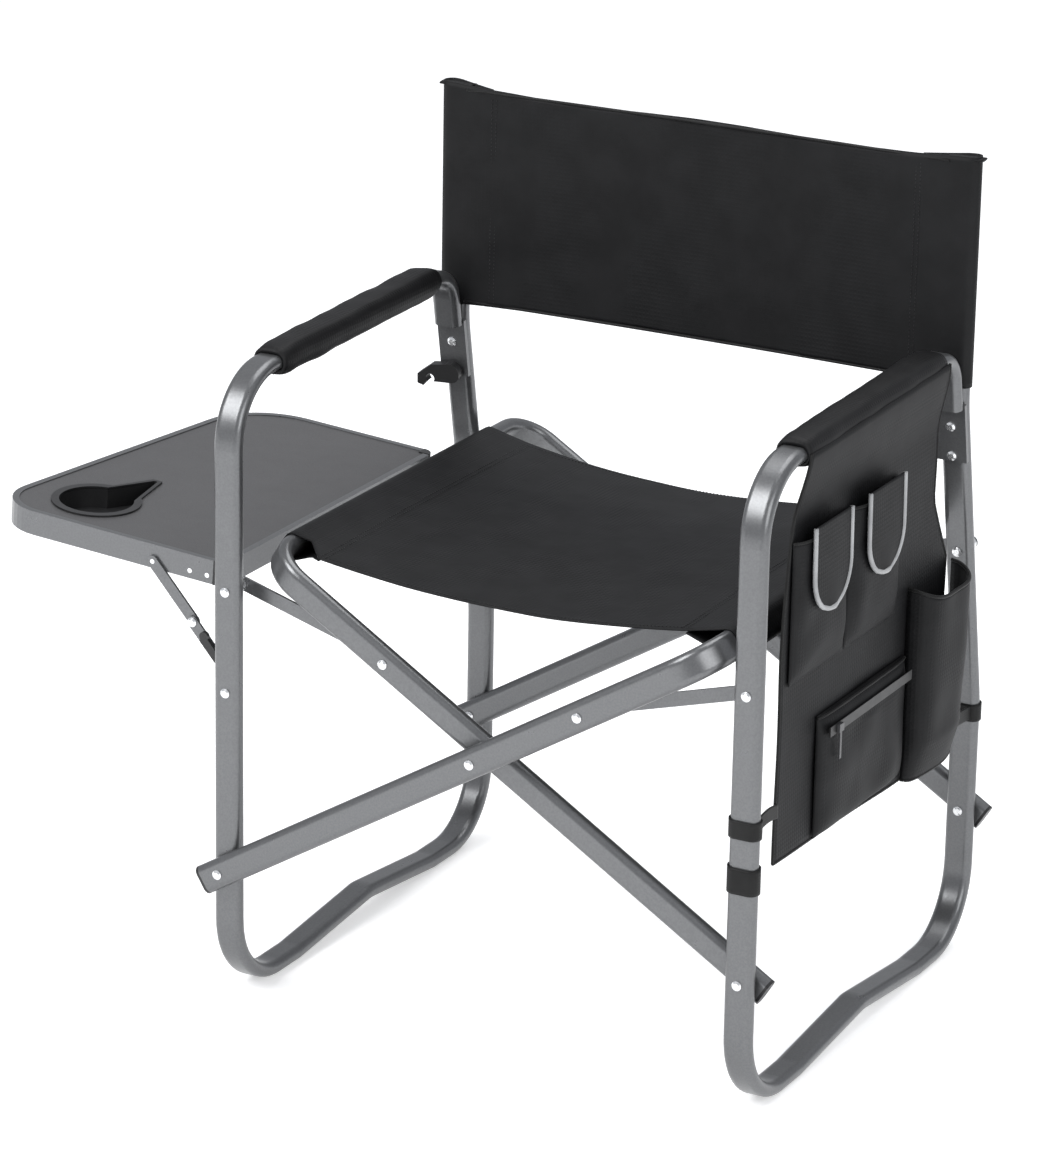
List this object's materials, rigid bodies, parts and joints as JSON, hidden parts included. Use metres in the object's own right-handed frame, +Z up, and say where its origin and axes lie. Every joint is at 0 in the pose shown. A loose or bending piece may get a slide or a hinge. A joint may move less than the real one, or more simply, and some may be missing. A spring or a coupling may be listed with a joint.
{
  "type": "folding camp chair",
  "caption": "Folding director-style camp chair with scissor cross frames, fabric seat and back, fold-down side table with cup holder, and a side organizer",
  "frame": {"origin": "on the floor under the middle of the chair's box", "axes": "+X across the chair from the side table to the organizer, +Y to the back, +Z up"},
  "size_m": [0.9011, 0.5722, 0.853],
  "materials": {
    "frame_tube": "satin grey oval tube",
    "rivet_steel": "bright rivet",
    "table_board": "dark grey table board, fine grain",
    "black_fabric": "black woven polyester",
    "black_webbing": "black webbing",
    "black_plastic": "black moulded plastic"
  },
  "bodies": {
    "left_frame": {"left_side_tube": "frame_tube", "left_post_cap": "black_plastic", "left_arm_pad": "black_fabric", "left_frame_rivets": "rivet_steel", "left_frame_spacers": "rivet_steel", "backrest_sling": "black_fabric"},
    "right_frame": {"right_side_tube": "frame_tube", "right_post_cap": "black_plastic", "right_arm_sleeve": "black_fabric", "right_frame_rivets": "rivet_steel", "right_frame_spacers": "rivet_steel", "organizer_panel": "black_fabric", "upper_pockets": "black_fabric", "zip_pocket": "black_fabric", "zip_tape": "black_webbing", "bottle_pocket": "black_fabric", "front_strap": "black_webbing", "rear_strap": "black_webbing", "leg_band": "black_webbing"},
    "cross_a": {"cross_frame_a": "frame_tube", "cross_a_end_caps": "black_plastic", "cross_pivot_rivets": "rivet_steel", "cross_pivot_spacers": "rivet_steel", "cross_a_link_rivets": "rivet_steel", "seat_sling": "black_fabric"},
    "cross_b": {"cross_frame_b": "frame_tube", "cross_b_end_caps": "black_plastic", "cross_b_link_rivets": "rivet_steel"},
    "left_links": {"left_link_front": "frame_tube", "left_link_rear": "frame_tube"},
    "right_links": {"right_link_front": "frame_tube", "right_link_rear": "frame_tube"},
    "table": {"table_rim": "frame_tube", "table_board": "table_board", "table_corner_caps": "black_plastic", "cup_holder": "black_plastic", "table_hinge_plates": "frame_tube", "table_rivets": "rivet_steel"},
    "upper_struts": {"upper_strut_front": "frame_tube", "upper_strut_rear": "frame_tube"},
    "lower_struts": {"lower_strut_front": "frame_tube", "lower_strut_rear": "frame_tube", "strut_rivets": "rivet_steel"},
    "lever": {"lock_lever": "black_plastic"},
    "catch": {"catch_hook": "black_plastic"},
    "flap_front": {"front_flap": "black_fabric"},
    "flap_rear": {"rear_flap": "black_fabric"},
    "slider": {"zip_slider": "rivet_steel"}
  },
  "joints": [
    {"name": "chair_fold", "type": "hinge", "parent": "left_frame", "child": "cross_a", "pos_m": [-0.15903, -0.26, 0.1415], "axis": [0, -1, 0], "range_deg": [0, 45.52], "deforming": ["seat_sling", "backrest_sling"]},
    {"name": "cross_pivot", "type": "hinge", "parent": "cross_a", "child": "cross_b", "pos_m": [0.12497, -0.26, 0.3154], "axis": [0, -1, 0], "range_deg": [-97.05, 0]},
    {"name": "right_frame_pin", "type": "hinge", "parent": "cross_b", "child": "right_frame", "pos_m": [0.40897, -0.26, 0.1415], "axis": [0, -1, 0], "range_deg": [0, 45.53]},
    {"name": "left_link_pivot", "type": "hinge", "parent": "left_frame", "child": "left_links", "pos_m": [-0.15903, -0.26, 0.43479], "axis": [0, -1, 0], "range_deg": [0, 86.69]},
    {"name": "right_link_pivot", "type": "hinge", "parent": "right_frame", "child": "right_links", "pos_m": [0.40897, -0.26, 0.43479], "axis": [0, -1, 0], "range_deg": [-86.69, 0]},
    {"name": "table_fold", "type": "hinge", "parent": "left_frame", "child": "table", "pos_m": [-0.15903, -0.24, 0.43479], "axis": [0, -1, 0], "range_deg": [0, 94]},
    {"name": "lower_strut_pivot", "type": "hinge", "parent": "left_frame", "child": "lower_struts", "pos_m": [-0.15903, -0.26, 0.3293], "axis": [0, -1, 0], "range_deg": [-41.58, 0]},
    {"name": "upper_strut_pivot", "type": "hinge", "parent": "table", "child": "upper_struts", "pos_m": [-0.25879, -0.26, 0.44177], "axis": [0, -1, 0], "range_deg": [0, 44.44]},
    {"name": "lock_lever_pivot", "type": "hinge", "parent": "lower_struts", "child": "lever", "pos_m": [-0.1895, -0.247, 0.36365], "axis": [0, -1, 0], "range_deg": [-12, 12]},
    {"name": "catch_pivot", "type": "hinge", "parent": "left_frame", "child": "catch", "pos_m": [-0.15903, 0.19218, 0.546], "axis": [0, -0.9819, -0.1894], "range_deg": [0, 60]},
    {"name": "front_flap_lift", "type": "hinge", "parent": "right_frame", "child": "flap_front", "pos_m": [0.43372, -0.14, 0.578], "axis": [0, -1, 0], "range_deg": [0, 120]},
    {"name": "rear_flap_lift", "type": "hinge", "parent": "right_frame", "child": "flap_rear", "pos_m": [0.43372, -0.02, 0.578], "axis": [0, -1, 0], "range_deg": [0, 120]},
    {"name": "zip_slide", "type": "slide", "parent": "right_frame", "child": "slider", "axis": [0, 1, 0], "range_m": [0, 0.13]}
  ],
  "couplings": [
    {"joint": "cross_pivot", "follows": "chair_fold", "ratio": -2.1318},
    {"joint": "right_frame_pin", "follows": "chair_fold", "ratio": 1},
    {"joint": "left_link_pivot", "follows": "chair_fold", "ratio": 1.9042},
    {"joint": "right_link_pivot", "follows": "chair_fold", "ratio": -1.9042},
    {"joint": "lower_strut_pivot", "follows": "table_fold", "ratio": -0.44226},
    {"joint": "upper_strut_pivot", "follows": "table_fold", "ratio": 0.47264}
  ]
}
